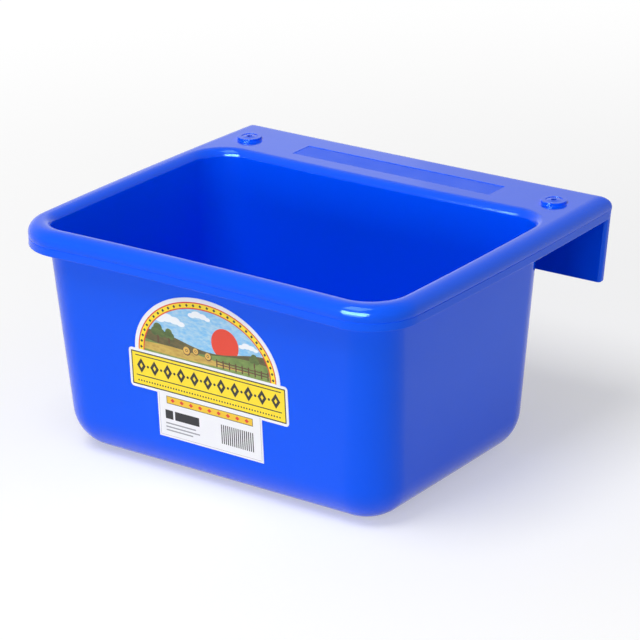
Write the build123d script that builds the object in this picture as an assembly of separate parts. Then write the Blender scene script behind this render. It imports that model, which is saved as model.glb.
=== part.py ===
from build123d import *
import os
from math import radians, tan

# A tub feeder that hooks over a fence rail, in millimetres.
# The base stands on Z = 0, +Z is up, the front faces -Y and the hanging flange is at +Y.
# X = 0 is the plane of symmetry. The pieces are drawn about the middle of the rim's nominal
# depth and then shifted along Y, so that the origin is below the middle of the whole.

# Overall size, over the corners of the rim
rim_width = 288.0
rim_depth = 258.5
height = 153.5

# Long edges of the moulding draw in towards the middle and the short ones swell a little
rim_bow_front = 4.3
rim_bow_back = 1.0
rim_bow_side = -2.3
mouth_bow_front = 2.6
mouth_bow_side = -1.3

# Tub walls
wall = 3.0
floor_thickness = 3.4
wall_draft = 3.2
mouth_corner_radius = 25.2
base_corner_radius = 28.9
base_edge_radius = 27.3

# Rolled rim and the skirt below its parting line
side_overhang = 10.4
front_overhang = 12.1
rim_corner_radius = 34.3
rim_shell = 2.8
outer_roll = 7.4
mouth_roll = 5.9
under_roll = 3.0
parting_depth = 10.0
parting_step = 0.35
skirt_depth = 15.2
skirt_edge_radius = 0.6

# Shelf and hanging flange that hook over the rail
rail_gap = 48.0
shelf_thickness = 3.4
flange_thickness = 6.7
flange_depth = 59.8
flange_end_draft = 5.0
bend_radius = 9.6
flange_edge_radius = 2.0
flange_foot_radius = 1.2
under_corner_radius = 4.0

# Screw bosses and the recessed panel on the shelf
fittings_from_back = 34.6
screw_spacing = 241.0
boss_radius = 8.4
boss_height = 2.1
boss_edge_radius = 0.4
boss_groove_radius = 5.1
boss_groove_width = 0.9
boss_groove_depth = 0.5
boss_nick_radius = 0.9
boss_nick_depth = 1.2
boss_nick_angle = -70.0
screw_hole_radius = 1.75
panel_length = 155.0
panel_width = 18.6
panel_recess = 0.5

# Die-cut label on the front wall: an arch on a wider band on a narrower panel
label_thickness = 0.3
label_foot_z = 28.7
label_panel_width = 81.0
label_panel_height = 29.5
label_band_width = 122.6
label_band_height = 26.5
label_arch_width = 112.0
label_arch_rise = 44.0
label_corner_radius = 2.5

# Places that follow from the sizes above
rim_front = -rim_depth / 2
rim_back = rim_depth / 2
parting_z = height - parting_depth
skirt_z = height - skirt_depth
flange_foot_z = height - flange_depth
tub_front = rim_front + front_overhang
tub_back = rim_back - flange_thickness - rail_gap
fittings_y = rim_back - fittings_from_back
margin = 20.0


def bowed_edge(start, end, bow):
    """Edge that runs anticlockwise from start to end and draws in by bow at its middle."""
    if bow == 0:
        return Line(start, end)
    run = Vector(*end) - Vector(*start)
    inward = Vector(-run.Y, run.X).normalized()
    middle = (Vector(*start) + Vector(*end)) / 2 + inward * bow
    return ThreePointArc(start, middle, end)


def bowed_outline(half_width, front, back, front_radius, back_radius, bows):
    """Plan outline of four shallow arcs with rounded corners; bows are front, side and back."""
    front_bow, side_bow, back_bow = bows
    corners = [(-half_width, front), (half_width, front), (half_width, back), (-half_width, back)]
    bow_of_edge = [front_bow, side_bow, back_bow, side_bow]
    edges = [
        bowed_edge(corners[i], corners[(i + 1) % 4], bow_of_edge[i])
        for i in range(4)
    ]
    outline = make_face(edges)
    outline = fillet(outline.vertices().group_by(Axis.Y)[0], front_radius)
    if back_radius:
        outline = fillet(outline.vertices().sort_by(Axis.Y)[-2:], back_radius)
    return outline


def tub_form(inset, bottom_z):
    """Solid form of the tub, inset from its outer wall, from bottom_z up to the rim's top plane."""
    sections = []
    for z in (bottom_z, height):
        lean = tan(radians(wall_draft)) * (height - z)
        share_up = z / height
        bows = [bow * share_up for bow in (mouth_bow_front, mouth_bow_side, mouth_bow_front)]
        corner = base_corner_radius + (mouth_corner_radius - base_corner_radius) * share_up - inset
        outline = bowed_outline(
            rim_width / 2 - side_overhang - lean - inset,
            tub_front + lean + inset,
            tub_back - lean - inset,
            corner,
            corner,
            bows,
        )
        sections.append(Pos(0, 0, z) * outline)
    form = loft(sections, ruled=True)
    return fillet(form.edges().group_by(Axis.Z)[0], base_edge_radius - inset)


def rim_outline(inset, back_inset, back_radius):
    """Plan outline of the rim, inset from its outer face."""
    return bowed_outline(
        rim_width / 2 - inset,
        rim_front + inset,
        rim_back - back_inset,
        rim_corner_radius - inset,
        back_radius,
        (rim_bow_front, rim_bow_side, rim_bow_back),
    )


def rim_cap():
    """Upper half of the rim and shelf: rolled at the sides and front, bent down at the back."""
    cap = extrude(Pos(0, 0, parting_z) * rim_outline(0, 0, 0), parting_depth)
    back_edge = cap.edges().group_by(Axis.Z)[-1].sort_by(Axis.Y)[-1]
    cap = fillet(back_edge, bend_radius)
    front_edge = cap.edges().group_by(Axis.Z)[-1].sort_by(Axis.Y)[0]
    return fillet(front_edge, outer_roll)


def rim_skirt():
    """Shallow wall below the parting line."""
    outline = rim_outline(parting_step, parting_step, outer_roll)
    skirt = extrude(Pos(0, 0, skirt_z) * outline, skirt_depth - parting_depth)
    return fillet(skirt.edges().group_by(Axis.Z)[0], skirt_edge_radius)


def under_rim(tub):
    """Hollow below the rim and shelf, around the tub."""
    inset = rim_shell + parting_step
    ceiling = height - shelf_thickness
    outline = rim_outline(inset, flange_thickness, under_corner_radius)
    block = extrude(Pos(0, 0, skirt_z - margin) * outline, ceiling - skirt_z + margin)
    hollow = block - tub
    ceiling_edges = hollow.faces().sort_by(Axis.Z)[-1].edges()
    return fillet(ceiling_edges, under_roll)


def front_view_prism(outline, front, back):
    """Solid that shows outline, drawn in X and Z, when seen from the front."""
    return extrude(Plane.XZ.offset(-back) * outline, back - front)


def hanging_flange():
    """Plate that hangs behind the rail, with drafted ends and rounded edges."""
    half_width = rim_width / 2 - parting_step
    back = rim_back - parting_step
    front = rim_back - flange_thickness
    corners = [(-half_width, front), (half_width, front), (half_width, back), (-half_width, back)]
    bows = [-rim_bow_back, 0, rim_bow_back, 0]
    plan = make_face([
        bowed_edge(corners[i], corners[(i + 1) % 4], bows[i])
        for i in range(4)
    ])
    plate = extrude(Pos(0, 0, flange_foot_z) * plan, parting_z - flange_foot_z)
    foot_half_width = half_width - flange_end_draft
    drafted_ends = make_face(Polyline(
        (-foot_half_width, flange_foot_z),
        (foot_half_width, flange_foot_z),
        (half_width, parting_z),
        (-half_width, parting_z),
        close=True,
    ))
    plate = plate & front_view_prism(drafted_ends, front - margin, back + margin)
    end_edges = plate.edges().filter_by(lambda edge: abs(edge.tangent_at(0.5).Z) > 0.9)
    plate = fillet(end_edges, flange_edge_radius)
    return fillet(plate.edges().group_by(Axis.Z)[0], flange_foot_radius)


def screw_boss():
    """Raised ring round a screw hole, standing on the shelf at the origin."""
    boss = Pos(0, 0, -shelf_thickness / 2) * Cylinder(
        boss_radius, boss_height + shelf_thickness / 2, align=(Align.CENTER, Align.CENTER, Align.MIN)
    )
    boss = fillet(boss.edges().group_by(Axis.Z)[-1], boss_edge_radius)
    groove = Cylinder(boss_groove_radius + boss_groove_width / 2, 2 * boss_groove_depth)
    groove -= Cylinder(boss_groove_radius - boss_groove_width / 2, 2 * boss_groove_depth)
    nick = Cylinder(boss_nick_radius, 2 * boss_nick_depth)
    nick = Rot(0, 0, boss_nick_angle) * Pos(boss_radius, 0, 0) * nick
    return boss - Pos(0, 0, boss_height) * (groove + nick)


def feeder_moulding():
    """The whole one-shot moulding."""
    tub = tub_form(0, 0)
    shell = rim_cap() + rim_skirt() + tub
    shell -= under_rim(tub)
    shell += hanging_flange()
    shell -= tub_form(wall, floor_thickness)
    top_face = shell.faces().filter_by(Axis.Z).sort_by(Axis.Z)[-1]
    shell = fillet(top_face.inner_wires()[0].edges(), mouth_roll)
    hole = Cylinder(screw_hole_radius, 4 * shelf_thickness)
    for side in (-1, 1):
        place = Pos(side * screw_spacing / 2, fittings_y, height)
        shell = shell + place * screw_boss() - place * hole
    panel = Box(panel_length, panel_width, 2 * panel_recess)
    return shell - Pos(0, fittings_y, height) * panel


def product_label():
    """Thin die-cut label that follows the front wall."""
    band_foot_z = label_foot_z + label_panel_height
    arch_foot_z = band_foot_z + label_band_height
    panel = Pos(0, (label_foot_z + arch_foot_z) / 2) * Rectangle(
        label_panel_width, label_panel_height + label_band_height
    )
    band = Pos(0, (band_foot_z + arch_foot_z) / 2) * RectangleRounded(
        label_band_width, label_band_height, label_corner_radius
    )
    arch = Pos(0, arch_foot_z) * Ellipse(label_arch_width / 2, label_arch_rise)
    arch -= Pos(0, band_foot_z - label_arch_rise) * Rectangle(label_band_width, 2 * label_arch_rise)
    prism = front_view_prism(panel + band + arch, rim_front, tub_front + margin)
    return (tub_form(-label_thickness, 0) & prism) - tub_form(0, 0)


if __name__ == "__main__":
    os.makedirs("parts", exist_ok=True)
    pieces = {
        "feeder_moulding": feeder_moulding(),
        "product_label": product_label(),
    }
    middle_y = pieces["feeder_moulding"].bounding_box().center().Y
    for name, piece in pieces.items():
        export_step(Pos(0, -middle_y, 0) * piece, f"parts/{name}.step")
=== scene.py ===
from math import cos, pi, radians, sin, sqrt, tan

import bpy
from mathutils import Matrix, Vector
from mathutils.geometry import delaunay_2d_cdt


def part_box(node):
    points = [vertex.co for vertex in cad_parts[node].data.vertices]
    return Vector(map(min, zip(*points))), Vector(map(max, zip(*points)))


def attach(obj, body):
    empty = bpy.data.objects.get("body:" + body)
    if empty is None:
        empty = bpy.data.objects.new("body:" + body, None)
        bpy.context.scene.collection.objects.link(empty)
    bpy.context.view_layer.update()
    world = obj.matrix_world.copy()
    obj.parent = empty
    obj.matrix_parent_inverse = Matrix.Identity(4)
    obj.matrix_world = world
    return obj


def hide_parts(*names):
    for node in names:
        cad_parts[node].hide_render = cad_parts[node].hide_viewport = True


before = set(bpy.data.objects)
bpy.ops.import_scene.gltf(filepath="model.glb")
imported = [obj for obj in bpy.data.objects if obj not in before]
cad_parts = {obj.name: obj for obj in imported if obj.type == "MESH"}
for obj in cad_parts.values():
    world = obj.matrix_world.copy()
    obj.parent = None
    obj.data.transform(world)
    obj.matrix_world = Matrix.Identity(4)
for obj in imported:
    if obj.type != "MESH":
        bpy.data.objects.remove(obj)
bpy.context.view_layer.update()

# Sizes of the finished surface, in metres, as the construction has them.
# The frame gives the overall places, and the rest are the sizes of each form.
moulding_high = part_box("feeder_moulding")[1]

RIM_BOW_FRONT, RIM_BOW_SIDE, RIM_BOW_BACK = 0.0043, -0.0023, 0.0010
MOUTH_BOW_FRONT, MOUTH_BOW_SIDE = 0.0026, -0.0013
BOSS_HEIGHT = 0.0021
RIM_DEPTH = 0.2585

# The front stands back by this much, so that its bow stays inside the solids' box
RIM_TRIM = 0.00015

RIM_HALF_WIDTH = moulding_high.x + RIM_BOW_SIDE
RIM_BACK = moulding_high.y
RIM_FRONT = RIM_BACK - RIM_DEPTH + RIM_TRIM
TOP = moulding_high.z - BOSS_HEIGHT

# Tub; the draft is in degrees
WALL = 0.0030
FLOOR_THICKNESS = 0.0034
DRAFT = 3.2
LEAN = tan(radians(DRAFT))
DRAFT_COSINE = cos(radians(DRAFT))
MOUTH_CORNER = 0.0252
BASE_CORNER = 0.0289
BASE_EDGE = 0.0273
MOUTH_ROLL = 0.0059

# Rolled rim, its parting line and the skirt below
SIDE_OVERHANG = 0.0104
FRONT_OVERHANG = 0.0121
RIM_CORNER = 0.0343
RIM_SHELL = 0.0028
OUTER_ROLL = 0.0074
UNDER_ROLL = 0.0030
PARTING_DEPTH = 0.0100
PARTING_STEP = 0.00035
NECK, NECK_LEDGE, SKIRT_FLARE = 0.00042, 0.00026, 0.00014
SKIRT_DEPTH = 0.0152
SKIRT_EDGE = 0.0006

# Shelf and hanging flange
RAIL_GAP = 0.0480
SHELF_THICKNESS = 0.0034
FLANGE_THICKNESS = 0.0067
FLANGE_DEPTH = 0.0598
FLANGE_END_DRAFT = 0.0050
FLANGE_EDGE = 0.0024
FLANGE_FOOT_EDGE = 0.0012
BEND = 0.0096
HIDDEN_RISE = 0.002

# Places that follow from the sizes above
TUB_HALF_WIDTH = RIM_HALF_WIDTH - SIDE_OVERHANG
TUB_FRONT = RIM_BACK - RIM_DEPTH + FRONT_OVERHANG
TUB_BACK = RIM_BACK - FLANGE_THICKNESS - RAIL_GAP
PARTING_Z = TOP - PARTING_DEPTH
SKIRT_Z = TOP - SKIRT_DEPTH
CEILING_Z = TOP - SHELF_THICKNESS

# Screw bosses and the recessed panel; the nick's angle is in degrees
FITTINGS_FROM_BACK = 0.0346
FITTINGS_Y = RIM_BACK - FITTINGS_FROM_BACK
SCREW_SPACING = 0.2410
SCREW_HOLE = 0.00175
HOLE_CLEARANCE = 0.01
BOSS_RADIUS = 0.0084
BOSS_EDGE = 0.0004
BOSS_FOOT = 0.0003
GROOVE_RADIUS, GROOVE_WIDTH, GROOVE_DEPTH = 0.0051, 0.0009, 0.00032
GROOVE_BEVEL = 0.0001
BOSS_LAND, HOLE_CHAMFER = 0.0032, 0.00027
NICK_RADIUS, NICK_DEPTH, NICK_ANGLE = 0.0007, 0.0007, -70
NICK_CLEARANCE = 0.001
PANEL_LENGTH, PANEL_WIDTH, PANEL_DEPTH, PANEL_SLOPE = 0.1550, 0.0186, 0.0003, 0.0003

# How finely rings and curves are divided
CORNER_STEPS = 20
LONG_STEPS = 36
SHORT_STEPS = 28
TURN_STEPS = 12
INNER_WALL_RINGS, OUTER_WALL_RINGS, FLAT_RINGS = 10, 12, 3
SKIRT_STEPS = 4
FLANGE_STEPS = 8
BOSS_EDGE_STEPS = 4
BOSS_SIDES, HOLE_SIDES, NICK_SIDES = 64, 32, 24

# Edges sharper than this, in degrees, stay sharp
CREASE_ANGLE = 38


# Mesh helpers

def new_piece(name, verts, faces):
    """Mesh object of that name, linked to the scene."""
    mesh = bpy.data.meshes.new(name)
    mesh.from_pydata(verts, [], faces)
    mesh.update()
    piece = bpy.data.objects.new(name, mesh)
    bpy.context.scene.collection.objects.link(piece)
    return piece


def lofted(name, rings):
    """Closed solid through anticlockwise rings that run from its top, over the outside, to its foot."""
    count = len(rings[0])
    verts = [point for ring in rings for point in ring]
    faces = []
    for i in range(len(rings) - 1):
        low, high = i * count, (i + 1) * count
        for j in range(count):
            k = (j + 1) % count
            faces.append((low + k, low + j, high + j, high + k))
    faces.append(tuple(range(count)))
    faces.append(tuple(reversed(range((len(rings) - 1) * count, len(rings) * count))))
    return new_piece(name, verts, faces)


def combine(piece, other, operation):
    """Joins other to piece, or cuts it away, and deletes other."""
    modifier = piece.modifiers.new("combine", "BOOLEAN")
    modifier.operation = operation
    modifier.object = other
    modifier.solver = "EXACT"
    apply_modifiers(piece)
    bpy.data.objects.remove(other)


def apply_modifiers(piece):
    """Replaces the piece's mesh by its evaluated one."""
    bpy.context.view_layer.update()
    evaluated = piece.evaluated_get(bpy.context.evaluated_depsgraph_get())
    mesh = bpy.data.meshes.new_from_object(evaluated)
    piece.modifiers.clear()
    piece.data = mesh
    mesh.name = piece.name


def smooth(piece, crease_degrees):
    """Smooth shading that keeps flat faces flat, with sharp edges past the crease angle."""
    piece.data.shade_smooth()
    piece.data.set_sharp_from_angle(angle=radians(crease_degrees))
    weighted = piece.modifiers.new("weighted", "WEIGHTED_NORMAL")
    weighted.keep_sharp = True
    apply_modifiers(piece)


# Plan outlines

def corner_arc(centre_x, centre_y, radius, start_degrees, z):
    """Quarter circle, anticlockwise, without its last point."""
    points = []
    for step in range(CORNER_STEPS):
        angle = radians(start_degrees + 90 * step / CORNER_STEPS)
        points.append((centre_x + radius * cos(angle), centre_y + radius * sin(angle), z))
    return points


def straight(start, end, steps, z):
    """Points from start towards end, without the last one."""
    return [
        (start[0] + (end[0] - start[0]) * i / steps, start[1] + (end[1] - start[1]) * i / steps, z)
        for i in range(steps)
    ]


def outline(z, half_width, front, back, front_radius, back_radius, bows):
    """Rounded rectangle whose edges draw in by the front, side and back bows at their middles."""
    w, f, b = half_width, front, back
    rf, rb = front_radius, back_radius
    ring = corner_arc(-w + rf, f + rf, rf, 180, z)
    ring += straight((-w + rf, f), (w - rf, f), LONG_STEPS, z)
    ring += corner_arc(w - rf, f + rf, rf, 270, z)
    ring += straight((w, f + rf), (w, b - rb), SHORT_STEPS, z)
    ring += corner_arc(w - rb, b - rb, rb, 0, z)
    ring += straight((w - rb, b), (-w + rb, b), LONG_STEPS, z)
    ring += corner_arc(-w + rb, b - rb, rb, 90, z)
    ring += straight((-w, b - rb), (-w, f + rf), SHORT_STEPS, z)
    front_bow, side_bow, back_bow = bows
    middle, half_depth = (f + b) / 2, (b - f) / 2
    bowed = []
    for x, y, height in ring:
        across = 1 - (x / w) ** 2
        along = 1 - ((y - middle) / half_depth) ** 2
        share_back = (y - f) / (b - f)
        new_x = x - x / w * side_bow * along
        new_y = y + across * (front_bow * (1 - share_back) - back_bow * share_back)
        bowed.append((new_x, new_y, height))
    return bowed


def between(ring_a, ring_b, count):
    """Rings spaced evenly between two rings, without the two."""
    rings = []
    for i in range(1, count + 1):
        share = i / (count + 1)
        rings.append([tuple(Vector(a).lerp(Vector(b), share)) for a, b in zip(ring_a, ring_b)])
    return rings


# The moulding

def tub_ring(z, inset):
    """Outline of the tub's wall at a height, inset from its outer face."""
    lean = LEAN * (TOP - z)
    share_up = z / TOP
    radius = BASE_CORNER + (MOUTH_CORNER - BASE_CORNER) * share_up - inset
    bows = [bow * share_up for bow in (MOUTH_BOW_FRONT, MOUTH_BOW_SIDE, MOUTH_BOW_FRONT)]
    inset += lean
    return outline(z, TUB_HALF_WIDTH - inset, TUB_FRONT + inset, TUB_BACK - inset, radius, radius, bows)


def rim_ring(z, side_inset, back_inset, back_radius):
    """Outline of the rim at a height, inset from its outer face."""
    return outline(
        z,
        RIM_HALF_WIDTH - side_inset,
        RIM_FRONT + side_inset,
        RIM_BACK - back_inset,
        RIM_CORNER - side_inset,
        back_radius,
        (RIM_BOW_FRONT, RIM_BOW_SIDE, RIM_BOW_BACK),
    )


def base_turn(floor_z, radius, inset):
    """Rings from the flat floor round to the drafted wall, from inside to outside."""
    rings = []
    for step in range(TURN_STEPS + 1):
        angle = radians((90 - DRAFT) * step / TURN_STEPS)
        z = floor_z + radius * (1 - cos(angle))
        turn_inset = radius / DRAFT_COSINE - radius * sin(angle) - LEAN * radius * cos(angle)
        rings.append(tub_ring(z, inset + turn_inset))
    return rings


def mouth_turn():
    """Rings from the inner wall over the mouth's rounded edge to the top plane."""
    rings = []
    for step in range(TURN_STEPS + 1):
        angle = radians(DRAFT + (90 - DRAFT) * step / TURN_STEPS)
        drop = MOUTH_ROLL * (1 - sin(angle))
        out = MOUTH_ROLL / DRAFT_COSINE - MOUTH_ROLL * cos(angle)
        inset = WALL - out + LEAN * (MOUTH_ROLL - drop)
        rings.append(tub_ring(TOP - drop, inset))
    return rings


def roll_inset(radius, drop):
    """How far a quarter-round edge stands in from the face below it, at a drop below its top."""
    return radius - sqrt(radius ** 2 - max(radius - drop, 0) ** 2)


def neck_inset(drop):
    """How far the rim's face draws in between its roll and the parting line."""
    share = max(drop - OUTER_ROLL, 0) / (PARTING_DEPTH - OUTER_ROLL)
    return NECK * share ** 2


def rim_turn():
    """Rings over the rim's outer edge: a roll at the front and sides, a wider bend at the back."""
    rings = []
    for step in range(TURN_STEPS + 1):
        drop = BEND * (1 - cos(radians(90) * step / TURN_STEPS))
        side = roll_inset(OUTER_ROLL, drop) + neck_inset(drop)
        rings.append(rim_ring(TOP - drop, side, roll_inset(BEND, drop), FLANGE_EDGE))
    rings.append(rim_ring(PARTING_Z, NECK, 0, FLANGE_EDGE))
    return rings


def skirt_rings():
    """Rings down the skirt, round its foot and up inside it to the hollow's ceiling."""
    behind_bend = FLANGE_THICKNESS / 2
    inner_inset = RIM_SHELL + PARTING_STEP
    inner_back = FLANGE_THICKNESS - PARTING_STEP
    inner_radius = UNDER_ROLL + PARTING_STEP
    skirt_top = PARTING_Z - NECK_LEDGE / 2
    skirt_inset = NECK - NECK_LEDGE
    rings = []
    for step in range(SKIRT_STEPS + 1):
        z = skirt_top + (SKIRT_Z + SKIRT_EDGE - skirt_top) * step / SKIRT_STEPS
        inset = skirt_inset - SKIRT_FLARE * step / SKIRT_STEPS
        rings.append(rim_ring(z, inset, behind_bend, FLANGE_EDGE))
    for degrees_round in (30, 60, 90):
        angle = radians(degrees_round)
        inset = skirt_inset - SKIRT_FLARE + SKIRT_EDGE * (1 - cos(angle))
        z = SKIRT_Z + SKIRT_EDGE * (1 - sin(angle))
        rings.append(rim_ring(z, inset, behind_bend, FLANGE_EDGE))
    rings.append(rim_ring(SKIRT_Z, inner_inset - SKIRT_EDGE / 2, inner_back, inner_radius))
    for z in (SKIRT_Z + SKIRT_EDGE / 2, (SKIRT_Z + CEILING_Z - UNDER_ROLL) / 2):
        rings.append(rim_ring(z, inner_inset, inner_back, inner_radius))
    for step in range(TURN_STEPS // 2 + 1):
        angle = radians(180 * step / TURN_STEPS)
        inset = UNDER_ROLL * (1 - cos(angle))
        z = CEILING_Z - UNDER_ROLL * (1 - sin(angle))
        rings.append(rim_ring(z, inner_inset + inset, inner_back + inset, inner_radius))
    return rings


def ceiling_turn():
    """Rings from the hollow's ceiling round to the tub's outer wall."""
    rings = []
    for step in range(TURN_STEPS // 2 + 1):
        angle = radians((90 + DRAFT) * step / (TURN_STEPS // 2))
        drop = UNDER_ROLL * (1 - cos(angle))
        out = UNDER_ROLL / DRAFT_COSINE - UNDER_ROLL * sin(angle)
        inset = -out + LEAN * (UNDER_ROLL - drop)
        rings.append(tub_ring(CEILING_Z - drop, inset))
    return rings


def wall_rings(low_ring_z, high_ring_z, inset, count):
    """Rings along the straight part of the wall, from low to high, without its ends."""
    step = (high_ring_z - low_ring_z) / (count + 1)
    return [tub_ring(low_ring_z + step * i, inset) for i in range(1, count + 1)]


def shell_body():
    """Tub, rim, shelf and skirt as one closed surface, from the floor inside to the base outside."""
    inner_base = base_turn(FLOOR_THICKNESS, BASE_EDGE - WALL, WALL)
    outer_base = base_turn(0, BASE_EDGE, 0)
    mouth = mouth_turn()
    rim = rim_turn()
    skirt = skirt_rings()
    ceiling = ceiling_turn()
    rings = list(inner_base)
    rings += wall_rings(inner_base[-1][0][2], mouth[0][0][2], WALL, INNER_WALL_RINGS)
    rings += mouth
    rings += between(mouth[-1], rim[0], FLAT_RINGS)
    rings += rim
    rings += skirt
    rings += between(skirt[-1], ceiling[0], FLAT_RINGS)
    rings += ceiling
    rings += reversed(wall_rings(outer_base[-1][0][2], ceiling[-1][0][2], 0, OUTER_WALL_RINGS))
    rings += reversed(outer_base)
    return lofted("feeder_body", rings)


def flange_plate():
    """Hanging plate with drafted ends; its top is hidden inside the shelf's bend."""
    foot_z = TOP - FLANGE_DEPTH
    hidden_top = CEILING_Z + SHELF_THICKNESS / 4
    rings = []

    def plate_ring(z, shrink, back_inset):
        share_down = max(PARTING_Z - z, 0) / (PARTING_Z - foot_z)
        half_width = RIM_HALF_WIDTH - PARTING_STEP - FLANGE_END_DRAFT * share_down - shrink
        front = RIM_BACK - FLANGE_THICKNESS + shrink
        back = RIM_BACK - back_inset - shrink
        radius = FLANGE_EDGE - shrink
        bows = (-RIM_BOW_BACK, 0, RIM_BOW_BACK)
        return outline(z, half_width, front, back, radius, radius, bows)

    for step in range(TURN_STEPS // 2 + 1):
        angle = radians(180 * step / TURN_STEPS)
        z = foot_z + FLANGE_FOOT_EDGE * (1 - cos(angle))
        rings.append(plate_ring(z, FLANGE_FOOT_EDGE * (1 - sin(angle)), PARTING_STEP))
    straight_low = foot_z + FLANGE_FOOT_EDGE
    for step in range(1, FLANGE_STEPS + 1):
        z = straight_low + (PARTING_Z - straight_low) * step / FLANGE_STEPS
        rings.append(plate_ring(z, 0, PARTING_STEP))
    for z in (PARTING_Z + HIDDEN_RISE, hidden_top):
        drop = TOP - z
        hidden = max(roll_inset(BEND, drop), PARTING_STEP) + PARTING_STEP
        rings.append(plate_ring(z, roll_inset(OUTER_ROLL, drop) + PARTING_STEP, hidden))
    return lofted("flange_plate", list(reversed(rings)))


def lathe(name, profile, centre, sides):
    """Solid of revolution about a vertical axis; the profile runs from top centre to bottom."""
    rings = []
    for radius, z in profile:
        ring = []
        for i in range(sides):
            angle = 2 * pi * i / sides
            ring.append((centre[0] + radius * cos(angle), centre[1] + radius * sin(angle), z))
        rings.append(ring)
    return lofted(name, rings)


def screw_boss(x):
    """Raised ring round a screw hole, with a groove that slopes down from its land and a nick in its edge."""
    top = TOP + BOSS_HEIGHT
    groove_floor = top - GROOVE_DEPTH
    outer = GROOVE_RADIUS + GROOVE_WIDTH / 2
    profile = [
        (SCREW_HOLE / 2, top - SCREW_HOLE / 2 - HOLE_CHAMFER),
        (SCREW_HOLE + HOLE_CHAMFER, top),
        (BOSS_LAND, top),
        (BOSS_LAND + 2 * GROOVE_BEVEL, top - GROOVE_BEVEL),
        (GROOVE_RADIUS, groove_floor),
        (outer - GROOVE_BEVEL, groove_floor),
        (outer, top - GROOVE_BEVEL),
        (outer + GROOVE_BEVEL, top),
    ]
    turn = [radians(90 * step / BOSS_EDGE_STEPS) for step in range(BOSS_EDGE_STEPS + 1)]
    for angle in turn:
        round_in = BOSS_EDGE * (1 - sin(angle))
        profile.append((BOSS_RADIUS - round_in, top - BOSS_EDGE * (1 - cos(angle))))
    for angle in turn:
        flare = BOSS_FOOT * (1 - cos(angle))
        profile.append((BOSS_RADIUS + flare, TOP + BOSS_FOOT * (1 - sin(angle))))
    profile.append((BOSS_RADIUS + BOSS_FOOT, TOP - SHELF_THICKNESS / 2))
    profile.append((SCREW_HOLE / 2, TOP - SHELF_THICKNESS / 2))
    boss = lathe("boss", profile, (x, FITTINGS_Y), BOSS_SIDES)
    nick_angle = radians(NICK_ANGLE)
    nick_at = (x + BOSS_RADIUS * cos(nick_angle), FITTINGS_Y + BOSS_RADIUS * sin(nick_angle))
    nick_profile = [(NICK_RADIUS, top + NICK_CLEARANCE), (NICK_RADIUS, top - NICK_DEPTH)]
    nick = lathe("nick", nick_profile, nick_at, NICK_SIDES)
    combine(boss, nick, "DIFFERENCE")
    return boss


def screw_hole(x):
    """Cutter for one screw hole."""
    profile = [(SCREW_HOLE, TOP + HOLE_CLEARANCE), (SCREW_HOLE, TOP - HOLE_CLEARANCE)]
    return lathe("hole", profile, (x, FITTINGS_Y), HOLE_SIDES)


def panel_cutter():
    """Shallow tapered block that sinks the panel into the shelf."""
    rings = []
    for z, grow in ((TOP - PANEL_DEPTH, 0), (TOP + PANEL_DEPTH, 2 * PANEL_SLOPE)):
        half_length, half_width = PANEL_LENGTH / 2 + grow, PANEL_WIDTH / 2 + grow
        front, back = FITTINGS_Y - half_width, FITTINGS_Y + half_width
        rings.append([
            (-half_length, front, z),
            (half_length, front, z),
            (half_length, back, z),
            (-half_length, back, z),
        ])
    return lofted("panel", list(reversed(rings)))


def feeder_moulding():
    """The whole moulding, finished to its small edges."""
    body = shell_body()
    combine(body, flange_plate(), "UNION")
    combine(body, panel_cutter(), "DIFFERENCE")
    for side in (-1, 1):
        x = side * SCREW_SPACING / 2
        combine(body, screw_boss(x), "UNION")
        combine(body, screw_hole(x), "DIFFERENCE")
    smooth(body, CREASE_ANGLE)
    body.name = body.data.name = "feeder_body"
    return body


# Materials; noise scales are in cycles a metre and bump heights in metres

BLUE = (0.0, 0.090, 0.92, 1)
DEEP_BLUE = (0.0, 0.084, 0.89, 1)
SHEEN = (0.28, 0.62, 1.0, 1)
PLASTIC_IOR = 1.5
CLOUD_SCALE, GLOSS_SCALE, WAVE_SCALE, GRAIN_SCALE = 9, 35, 12, 1400
WAVE_HEIGHT = 0.00005
NOISE_LOW, NOISE_HIGH = 0.3, 0.7

PRINT_SCALE, STROKE_SCALE, STROKE_STRETCH = 2600, 260, (1, 1, 2.6)
PRINT_SHADE = 0.93
FILM_SCALE, FILM_HEIGHT, FILM_ROUGHNESS = 90, 0.00006, 0.36


def srgb(red, green, blue):
    """Linear colour of an sRGB colour given from 0 to 255."""
    def linear(value):
        value /= 255
        return value / 12.92 if value <= 0.04045 else ((value + 0.055) / 1.055) ** 2.4
    return (linear(red), linear(green), linear(blue), 1)


def new_material(name):
    """Empty node material with its Principled shader."""
    material = bpy.data.materials.new(name)
    material.use_nodes = True
    return material, material.node_tree.nodes, material.node_tree.links


def object_noise(nodes, links, scale, detail, stretch=(1, 1, 1)):
    """Noise in object coordinates."""
    coordinates = nodes.new("ShaderNodeTexCoord")
    mapping = nodes.new("ShaderNodeMapping")
    mapping.inputs["Scale"].default_value = stretch
    noise = nodes.new("ShaderNodeTexNoise")
    noise.inputs["Scale"].default_value = scale
    noise.inputs["Detail"].default_value = detail
    links.new(coordinates.outputs["Object"], mapping.inputs["Vector"])
    links.new(mapping.outputs["Vector"], noise.inputs["Vector"])
    return noise.outputs["Fac"]


def mapped(nodes, links, value, low, high):
    """Value from the middle of a noise's range, spread from low to high."""
    spread = nodes.new("ShaderNodeMapRange")
    spread.inputs["From Min"].default_value = NOISE_LOW
    spread.inputs["From Max"].default_value = NOISE_HIGH
    spread.inputs["To Min"].default_value = low
    spread.inputs["To Max"].default_value = high
    links.new(value, spread.inputs["Value"])
    return spread.outputs["Result"]


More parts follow.
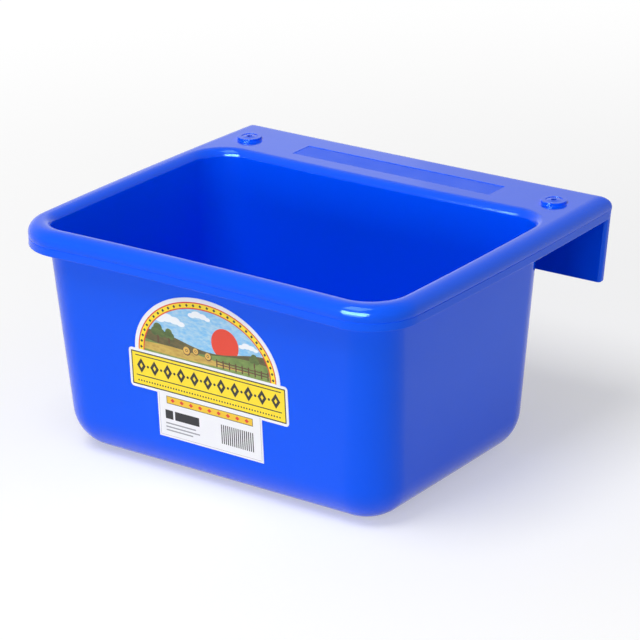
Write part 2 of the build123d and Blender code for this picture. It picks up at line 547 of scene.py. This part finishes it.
def mixed(nodes, links, factor, colour_a, colour_b):
    """Colour between two, by a factor."""
    mix = nodes.new("ShaderNodeMix")
    mix.data_type = "RGBA"
    mix.inputs["A"].default_value = colour_a
    mix.inputs["B"].default_value = colour_b
    links.new(factor, mix.inputs["Factor"])
    return mix.outputs["Result"]


def bumped(nodes, links, height, distance, below=None):
    """Bump of that height, on top of another bump if one is given."""
    bump = nodes.new("ShaderNodeBump")
    bump.inputs["Strength"].default_value = 1
    bump.inputs["Distance"].default_value = distance
    links.new(height, bump.inputs["Height"])
    if below is not None:
        links.new(below, bump.inputs["Normal"])
    return bump.outputs["Normal"]


def moulded_plastic(name, low_roughness, high_roughness, grain_height):
    """Glossy injection-moulded plastic: faint clouding, uneven gloss, slow waves and a fine grain."""
    material, nodes, links = new_material(name)
    shader = nodes["Principled BSDF"]
    clouds = mapped(nodes, links, object_noise(nodes, links, CLOUD_SCALE, 3), 0, 1)
    links.new(mixed(nodes, links, clouds, BLUE, DEEP_BLUE), shader.inputs["Base Color"])
    patches = object_noise(nodes, links, GLOSS_SCALE, 4)
    roughness = mapped(nodes, links, patches, low_roughness, high_roughness)
    links.new(roughness, shader.inputs["Roughness"])
    waves = bumped(nodes, links, object_noise(nodes, links, WAVE_SCALE, 1), WAVE_HEIGHT)
    grain = object_noise(nodes, links, GRAIN_SCALE, 2)
    links.new(bumped(nodes, links, grain, grain_height, waves), shader.inputs["Normal"])
    shader.inputs["IOR"].default_value = PLASTIC_IOR
    shader.inputs["Specular Tint"].default_value = SHEEN
    return material


def panel_faces(body):
    """Faces of the recessed panel's floor."""
    upward = 0.9
    return [
        face for face in body.data.polygons
        if abs(face.center.x) < PANEL_LENGTH / 2
        and abs(face.center.y - FITTINGS_Y) < PANEL_WIDTH / 2
        and abs(face.center.z - TOP + PANEL_DEPTH) < PANEL_DEPTH / 4
        and face.normal.z > upward
    ]


# The label: inks and printed shapes, in metres across (x) and up (z) on the front wall

# The sheet fills SHEET_SHARE of its thickness, so that its back doesn't touch the wall
LABEL_THICKNESS = 0.0002
SHEET_SHARE = 0.95
LABEL_GRID, GRID_HALF_COUNT = 0.004, 15
MERGE_DISTANCE = 1e-5
LABEL_FOOT = 0.0287
BAND_FOOT = LABEL_FOOT + 0.0295
ARCH_FOOT = BAND_FOOT + 0.0265
PANEL_HALF = 0.0405
BAND_HALF = 0.0613
ARCH_HALF, ARCH_RISE = 0.0560, 0.0440
BAND_CORNER = 0.0025
CORNER_SEGMENTS, ARCH_SEGMENTS = 6, 72
RED_INSET, YELLOW_INSET, INNER_RED_INSET, PICTURE_INSET = 0.0028, 0.0036, 0.0066, 0.0074
GROUND_LAP = 0.001


def ellipse_arc(centre, half_width, half_height, start, end, steps):
    """Points on an ellipse between two angles in degrees, both included."""
    points = []
    for i in range(steps + 1):
        angle = radians(start + (end - start) * i / steps)
        points.append((centre[0] + half_width * cos(angle), centre[1] + half_height * sin(angle)))
    return points


def disc(x, z, half_width, half_height=None, steps=40):
    """Ellipse or circle as a polygon."""
    return ellipse_arc((x, z), half_width, half_height or half_width, 0, 360, steps)[:-1]


def rectangle(left, low, right, high):
    """Rectangle as a polygon."""
    return [(left, low), (right, low), (right, high), (left, high)]


def diamond(x, z, half_width, half_height):
    """Diamond as a polygon."""
    return [(x - half_width, z), (x, z - half_height), (x + half_width, z), (x, z + half_height)]


def label_outline():
    """The label's cut edge: an arch on a wider band on a narrower panel."""
    r, right = BAND_CORNER, BAND_HALF - BAND_CORNER
    edge = [(-PANEL_HALF, LABEL_FOOT), (PANEL_HALF, LABEL_FOOT), (PANEL_HALF, BAND_FOOT)]
    edge += ellipse_arc((right, BAND_FOOT + r), r, r, -90, 0, CORNER_SEGMENTS)
    edge += ellipse_arc((right, ARCH_FOOT - r), r, r, 0, 90, CORNER_SEGMENTS)
    edge += ellipse_arc((0, ARCH_FOOT), ARCH_HALF, ARCH_RISE, 0, 180, ARCH_SEGMENTS)
    edge += ellipse_arc((-right, ARCH_FOOT - r), r, r, 90, 180, CORNER_SEGMENTS)
    edge += ellipse_arc((-right, BAND_FOOT + r), r, r, 180, 270, CORNER_SEGMENTS)
    edge.append((-PANEL_HALF, BAND_FOOT))
    return edge


def arch_inset(inset):
    """Half ellipse inside the arch, down to the band."""
    return ellipse_arc((0, ARCH_FOOT), ARCH_HALF - inset, ARCH_RISE - inset, 0, 180, ARCH_SEGMENTS)


def hill(height, swell, waves, phase):
    """Rolling ground across the picture, from the band up to a wavy skyline."""
    steps = 48
    skyline = []
    for i in range(steps + 1):
        x = -ARCH_HALF + 2 * ARCH_HALF * i / steps
        z = ARCH_FOOT + height + swell * sin(waves * pi * i / steps + phase)
        skyline.append((x, z))
    ground = [(ARCH_HALF, ARCH_FOOT - GROUND_LAP), (-ARCH_HALF, ARCH_FOOT - GROUND_LAP)]
    return list(reversed(skyline + ground))


def rolled_cloud(x, z, size):
    """A flat-footed cloud of overlapping discs."""
    flatness = 0.55
    puffs = [(-1.1, 0.05, 0.55), (-0.35, 0.3, 0.75), (0.5, 0.2, 0.65), (1.2, 0.0, 0.45)]
    return [disc(x + size * dx, z + size * dz, size * r, size * r * flatness, 24) for dx, dz, r in puffs]


def round_tree(x, z, size):
    """Crown and trunk of a small tree that stands at x, z."""
    half_trunk, trunk_height = size * 0.08, size * 0.7
    trunk = rectangle(x - half_trunk, z, x + half_trunk, z + trunk_height)
    puffs = [(-0.28, 0.85, 0.34), (0.28, 0.8, 0.36), (0.0, 1.15, 0.4)]
    crown = [disc(x + size * dx, z + size * dz, size * r, steps=20) for dx, dz, r in puffs]
    return trunk, crown


def rail_fence(left, right, z, count):
    """Posts and two rails of a split-rail fence."""
    rails = ((0.0018, 0.0025), (0.0037, 0.0044))
    half_post, post_height = 0.0005, 0.0054
    parts = [rectangle(left, z + low, right, z + high) for low, high in rails]
    for i in range(count):
        x = left + (right - left) * i / (count - 1)
        parts.append(rectangle(x - half_post, z, x + half_post, z + post_height))
    return parts


def picture_layers():
    """Generic farmland under a low sun, as (ink, polygon) from back to front."""
    layers = [("sky", arch_inset(PICTURE_INSET))]
    for x, z, size in ((-0.0270, 0.1085, 0.0070), (-0.0040, 0.1160, 0.0052), (0.0330, 0.1035, 0.0045)):
        layers += [("cloud", part) for part in rolled_cloud(x, z, size)]
    layers.append(("sun", disc(0.0150, 0.1020, 0.0105)))
    layers.append(("far_hill", hill(0.0125, 0.0030, 2.6, 0.4)))
    layers.append(("mid_hill", hill(0.0085, 0.0024, 2.1, 2.6)))
    layers.append(("wheat", hill(0.0052, 0.0018, 1.7, 0.3)))
    layers.append(("field", hill(0.0022, 0.0014, 1.3, 3.4)))
    for x, z, size in ((-0.0370, 0.0925, 0.0085), (-0.0285, 0.0935, 0.0065), (0.0370, 0.0915, 0.0060)):
        trunk, crown = round_tree(x, z, size)
        layers.append(("bark", trunk))
        layers += [("leaves", part) for part in crown]
    for x, z, size in ((-0.0150, 0.0915, 0.0030), (-0.0080, 0.0925, 0.0024), (0.0015, 0.0912, 0.0027)):
        layers.append(("bark", disc(x, z, size, steps=28)))
        face_x, face_z = x - size * 0.08, z + size * 0.08
        for ink, share, steps in (("straw", 0.84, 28), ("bark", 0.34, 16), ("straw", 0.2, 16)):
            layers.append((ink, disc(face_x, face_z, size * share, steps=steps)))
    fence = rail_fence(left=0.0080, right=0.0470, z=0.0858, count=9)
    layers += [("bark", part) for part in fence]
    return layers


def border_layers():
    """Red, yellow and red lines round the picture, with dark diamonds on the yellow."""
    layers = [("red", arch_inset(RED_INSET)), ("yellow", arch_inset(YELLOW_INSET))]
    inset = (YELLOW_INSET + INNER_RED_INSET) / 2
    count, half = 30, 0.0011
    for i in range(count):
        angle = pi * (i + 0.5) / count
        x = (ARCH_HALF - inset) * cos(angle)
        z = ARCH_FOOT + (ARCH_RISE - inset) * sin(angle)
        layers.append(("black", diamond(x, z, half, half)))
    layers.append(("red", arch_inset(INNER_RED_INSET)))
    return layers


def band_layers():
    """Plain yellow band with a dark edge and a row of diamonds and dots between lines."""
    edge, line, margin, rule = 0.0018, 0.0008, 0.0050, 0.0007
    left, right, low, high = -BAND_HALF, BAND_HALF, BAND_FOOT, ARCH_FOOT

    def inset(by):
        return rectangle(left + by, low + by, right - by, high - by)

    layers = [("black", inset(edge)), ("yellow", inset(edge + line))]
    middle = (low + high) / 2 + 0.0020
    spacing = 0.0104
    for i in range(-5, 6):
        x = i * spacing
        layers.append(("black", diamond(x, middle, 0.0034, 0.0050)))
        layers.append(("yellow", diamond(x, middle, 0.0012, 0.0018)))
        if i < 5:
            layers.append(("black", disc(x + spacing / 2, middle, 0.0009, steps=16)))
    for z in (middle + 0.0064, middle - 0.0071):
        layers.append(("black", rectangle(left + margin, z, right - margin, z + rule)))
    for i in range(-26, 27):
        layers.append(("black", disc(i * 0.0021, low + margin, 0.0006, steps=10)))
    return layers


def panel_layers():
    """White panel: fine frame, plain gold bar, and plain dark and grey bars."""
    left, right, low, lap = -PANEL_HALF, PANEL_HALF, LABEL_FOOT, 0.0010
    layers = []
    for ink, edge in (("grey", 0.0012), ("paper", 0.0014)):
        layers.append((ink, rectangle(left + edge, low + edge, right - edge, BAND_FOOT + lap)))
    layers.append(("black", rectangle(-0.0335, 0.0520, 0.0335, 0.0572)))
    layers.append(("gold", rectangle(-0.0331, 0.0524, 0.0331, 0.0568)))
    for i in range(-4, 5):
        layers.append(("red", diamond(i * 0.0072, 0.0546, 0.0017, 0.0014)))
    for x, width in ((-0.0350, 0.0060), (-0.0275, 0.0190)):
        layers.append(("black", rectangle(x, 0.0415, x + width, 0.0475)))
    margin, line = -0.0350, 0.0009
    for z, width in ((0.0380, 0.0235), (0.0355, 0.0265), (0.0332, 0.0210)):
        layers.append(("grey", rectangle(margin, z, margin + width, z + line)))
    bars_left, spacing, bar = 0.0085, 0.0016, 0.0008
    for i in range(16):
        x = bars_left + i * spacing
        layers.append(("black", rectangle(x, 0.0345, x + bar, 0.0475)))
    return layers


# Colours of the inks, from 0 to 255, and the second colour of those that look painted
INKS = {
    "paper": (239, 239, 242), "black": (22, 21, 24), "grey": (150, 150, 156), "red": (222, 56, 32),
    "yellow": (252, 222, 30), "gold": (240, 196, 40), "sky": (112, 184, 232), "cloud": (240, 244, 248),
    "sun": (226, 62, 34), "far_hill": (104, 90, 48), "mid_hill": (96, 122, 58), "wheat": (206, 176, 84),
    "field": (134, 160, 82), "leaves": (62, 84, 34), "bark": (92, 58, 34), "straw": (222, 180, 84),
}
PAINTED = {
    "sky": (176, 210, 232), "far_hill": (74, 74, 36), "mid_hill": (122, 148, 72),
    "wheat": (184, 146, 62), "field": (108, 136, 62), "leaves": (92, 112, 48),
}


def ink_material(name, colour):
    """Printed film: the ink's colour with a fine print grain, or with broader strokes if it looks painted."""
    material, nodes, links = new_material("ink_" + name)
    shader = nodes["Principled BSDF"]
    if name in PAINTED:
        strokes = object_noise(nodes, links, STROKE_SCALE, 4, STROKE_STRETCH)
        grain = mapped(nodes, links, strokes, 0, 1)
        second = srgb(*PAINTED[name])
    else:
        grain = mapped(nodes, links, object_noise(nodes, links, PRINT_SCALE, 1), 0, 0.5)
        second = tuple(value * PRINT_SHADE for value in srgb(*colour)[:3]) + (1,)
    links.new(mixed(nodes, links, grain, srgb(*colour), second), shader.inputs["Base Color"])
    film = object_noise(nodes, links, FILM_SCALE, 2)
    links.new(bumped(nodes, links, film, FILM_HEIGHT), shader.inputs["Normal"])
    shader.inputs["Roughness"].default_value = FILM_ROUGHNESS
    return material


def wall_y(x, z):
    """Y of the front wall's outer face at a place on it."""
    lean = LEAN * (TOP - z)
    across = 1 - (x / (TUB_HALF_WIDTH - lean)) ** 2
    return TUB_FRONT + lean + MOUTH_BOW_FRONT * z / TOP * across


def anticlockwise(polygon):
    """The polygon, turned round if it runs clockwise."""
    area = sum(
        polygon[i - 1][0] * point[1] - point[0] * polygon[i - 1][1] for i, point in enumerate(polygon)
    )
    return polygon if area > 0 else list(reversed(polygon))


def label_piece():
    """Thin die-cut label that follows the front wall, each ink with its own faces."""
    picture = picture_layers()
    layers = [("paper", label_outline())] + border_layers() + picture + band_layers() + panel_layers()
    picture_arch = layers.index(picture[0])
    picture_range = range(picture_arch, picture_arch + len(picture))
    points, loops, grid = [], [], []
    for ink, polygon in layers:
        loops.append(list(range(len(points), len(points) + len(polygon))))
        points += anticlockwise(polygon)
    for i in range(-GRID_HALF_COUNT, GRID_HALF_COUNT):
        x = (i + 0.5) * LABEL_GRID
        grid.append((len(points), len(points) + 1))
        points += [(x, LABEL_FOOT), (x, ARCH_FOOT + ARCH_RISE)]
    flat, _, triangles, _, _, origins = delaunay_2d_cdt(
        [Vector(point) for point in points], grid, loops, 0, MERGE_DISTANCE
    )
    kept = [(tri, origin) for tri, origin in zip(triangles, origins) if 0 in origin]
    used = sorted({i for tri, _ in kept for i in tri})
    place = {old: new for new, old in enumerate(used)}
    front = [(flat[i].x, wall_y(*flat[i]) - LABEL_THICKNESS, flat[i].y) for i in used]
    back = [(x, y + LABEL_THICKNESS * SHEET_SHARE, z) for x, y, z in front]
    faces, inks, border = [], [], {}
    names = list(INKS)
    for tri, origin in kept:
        corners = [place[i] for i in tri]
        seen = [i for i in origin if i not in picture_range or picture_arch in origin]
        faces.append(tuple(corners))
        inks.append(names.index(layers[max(seen)][0]))
        for a, b in zip(corners, corners[1:] + corners[:1]):
            if (b, a) in border:
                del border[(b, a)]
            else:
                border[(a, b)] = True
    count = len(front)
    faces += [tuple(i + count for i in reversed(face)) for face in faces]
    faces += [(b, a, a + count, b + count) for a, b in border]
    piece = new_piece("label_sheet", front + back, faces)
    for name in names:
        piece.data.materials.append(ink_material(name, INKS[name]))
    for index, ink in enumerate(inks):
        piece.data.polygons[index].material_index = ink
    return piece


# The studio

def area_light(name, at, towards, width, height, power):
    """Soft box that faces a point."""
    data = bpy.data.lights.new(name, "AREA")
    data.shape = "RECTANGLE"
    data.size, data.size_y, data.energy = width, height, power
    lamp = bpy.data.objects.new(name, data)
    bpy.context.scene.collection.objects.link(lamp)
    lamp.location = at
    lamp.rotation_euler = (Vector(towards) - Vector(at)).to_track_quat("-Z", "Y").to_euler()
    return lamp


def background_ray(nodes, links):
    """1 for a ray that the camera sees directly, in a reflection or through glass, else 0."""
    path = nodes.new("ShaderNodeLightPath")
    value = path.outputs["Is Camera Ray"]
    for kind in ("Is Glossy Ray", "Is Transmission Ray"):
        either = nodes.new("ShaderNodeMath")
        either.operation = "MAXIMUM"
        links.new(value, either.inputs[0])
        links.new(path.outputs[kind], either.inputs[1])
        value = either.outputs["Value"]
    return value


# The surround's light, and the floor's colour and glow near to the object and far from it
WORLD_STRENGTH = 0.28
FLOOR_ALBEDO_NEAR, FLOOR_ALBEDO_FAR = 0.62, 0.25
FLOOR_GLOW_NEAR, FLOOR_GLOW_FAR = 0.42, 0.88
FLOOR_NEAR, FLOOR_FAR = 0.15, 1.25
FLOOR_SIZE = 12


def make_world():
    """Even surround that is plain white to the camera, in reflections and through glass."""
    world = bpy.data.worlds.new("studio")
    bpy.context.scene.world = world
    world.use_nodes = True
    nodes, links = world.node_tree.nodes, world.node_tree.links
    strength = nodes.new("ShaderNodeMapRange")
    strength.inputs["To Min"].default_value = WORLD_STRENGTH
    strength.inputs["To Max"].default_value = 1
    links.new(background_ray(nodes, links), strength.inputs["Value"])
    nodes["Background"].inputs["Color"].default_value = (1, 1, 1, 1)
    links.new(strength.outputs["Result"], nodes["Background"].inputs["Strength"])


def make_floor():
    """Wide pale floor that keeps the object's shadow and turns plain white further out."""
    half = FLOOR_SIZE / 2
    corners = [(-half, -half, 0), (half, -half, 0), (half, half, 0), (-half, half, 0)]
    floor = new_piece("floor", corners, [(0, 1, 2, 3)])
    material, nodes, links = new_material("floor_white")
    nodes.remove(nodes["Principled BSDF"])
    coordinates = nodes.new("ShaderNodeTexCoord")
    distance = nodes.new("ShaderNodeVectorMath")
    distance.operation = "LENGTH"
    links.new(coordinates.outputs["Object"], distance.inputs[0])

    def by_distance(near, far):
        spread = nodes.new("ShaderNodeMapRange")
        spread.interpolation_type = "SMOOTHSTEP"
        spread.inputs["From Min"].default_value = FLOOR_NEAR
        spread.inputs["From Max"].default_value = FLOOR_FAR
        spread.inputs["To Min"].default_value = near
        spread.inputs["To Max"].default_value = far
        links.new(distance.outputs["Value"], spread.inputs["Value"])
        return spread.outputs["Result"]

    diffuse = nodes.new("ShaderNodeBsdfDiffuse")
    links.new(by_distance(FLOOR_ALBEDO_NEAR, FLOOR_ALBEDO_FAR), diffuse.inputs["Color"])
    glow = nodes.new("ShaderNodeEmission")
    glow.inputs["Color"].default_value = (1, 1, 1, 1)
    strength = nodes.new("ShaderNodeMath")
    strength.operation = "MULTIPLY"
    links.new(background_ray(nodes, links), strength.inputs[0])
    links.new(by_distance(FLOOR_GLOW_NEAR, FLOOR_GLOW_FAR), strength.inputs[1])
    links.new(strength.outputs["Value"], glow.inputs["Strength"])
    both = nodes.new("ShaderNodeAddShader")
    links.new(diffuse.outputs["BSDF"], both.inputs[0])
    links.new(glow.outputs["Emission"], both.inputs[1])
    links.new(both.outputs["Shader"], nodes["Material Output"].inputs["Surface"])
    floor.data.materials.append(material)


# The camera that was fitted to the photograph, in degrees, metres and millimetres of lens
CAMERA_AZIMUTH = 35.99
CAMERA_ELEVATION = 21.31
CAMERA_ROLL = -0.93
CAMERA_DISTANCE = 1.9378
CAMERA_TARGET = Vector((0, 0.00734, 0.07531))
CAMERA_LENS, CAMERA_SENSOR = 169.56, 36
CAMERA_SHIFT = (-0.0026, 0.00125)
CAMERA_CLIP_START = 0.05


def make_camera():
    """Camera at the photograph's angle and distance."""
    camera = bpy.data.objects.new("camera", bpy.data.cameras.new("camera"))
    bpy.context.scene.collection.objects.link(camera)
    azimuth, elevation = radians(CAMERA_AZIMUTH), radians(CAMERA_ELEVATION)
    back = Vector((sin(azimuth) * cos(elevation), -cos(azimuth) * cos(elevation), sin(elevation)))
    right = Vector((cos(azimuth), sin(azimuth), 0))
    up = back.cross(right)
    roll = radians(CAMERA_ROLL)
    axes = (right * cos(roll) + up * sin(roll), up * cos(roll) - right * sin(roll), back)
    place = Matrix.Translation(CAMERA_TARGET + back * CAMERA_DISTANCE)
    camera.matrix_world = place @ Matrix(axes).transposed().to_4x4()
    camera.data.lens = CAMERA_LENS
    camera.data.sensor_width = CAMERA_SENSOR
    camera.data.shift_x, camera.data.shift_y = CAMERA_SHIFT
    camera.data.clip_start = CAMERA_CLIP_START
    bpy.context.scene.camera = camera


# Build

body = feeder_moulding()
gloss = moulded_plastic("blue_plastic", low_roughness=0.10, high_roughness=0.15, grain_height=0.0000006)
fine = moulded_plastic("blue_plastic_fine", low_roughness=0.42, high_roughness=0.50, grain_height=0.000003)
body.data.materials.append(gloss)
body.data.materials.append(fine)
for face in panel_faces(body):
    face.material_index = 1
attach(body, "root")
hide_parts("feeder_moulding")

label = label_piece()
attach(label, "root")
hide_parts("product_label")

middle = (0, 0, 0.07)
make_world()
make_floor()
area_light("key", at=(-0.10, -1.95, 0.30), towards=middle, width=1.4, height=0.4, power=17)
area_light("overhead", at=(-0.22, -0.82, 1.88), towards=middle, width=1.1, height=1.1, power=25)
fill = area_light("side_fill", at=(1.75, 0.12, 0.27), towards=middle, width=0.8, height=0.5, power=5.5)
fill.visible_glossy = False
left_rim = (-0.08, 0.1, 0.15)
area_light("back_box", at=(-0.62, 0.72, 0.42), towards=left_rim, width=0.36, height=0.5, power=0.10)
card = area_light("highlight_card", at=(0.0, -1.85, 0.88), towards=middle, width=1.9, height=0.85, power=165)
card.visible_diffuse = False
make_camera()
bpy.context.scene.view_settings.view_transform = "Standard"
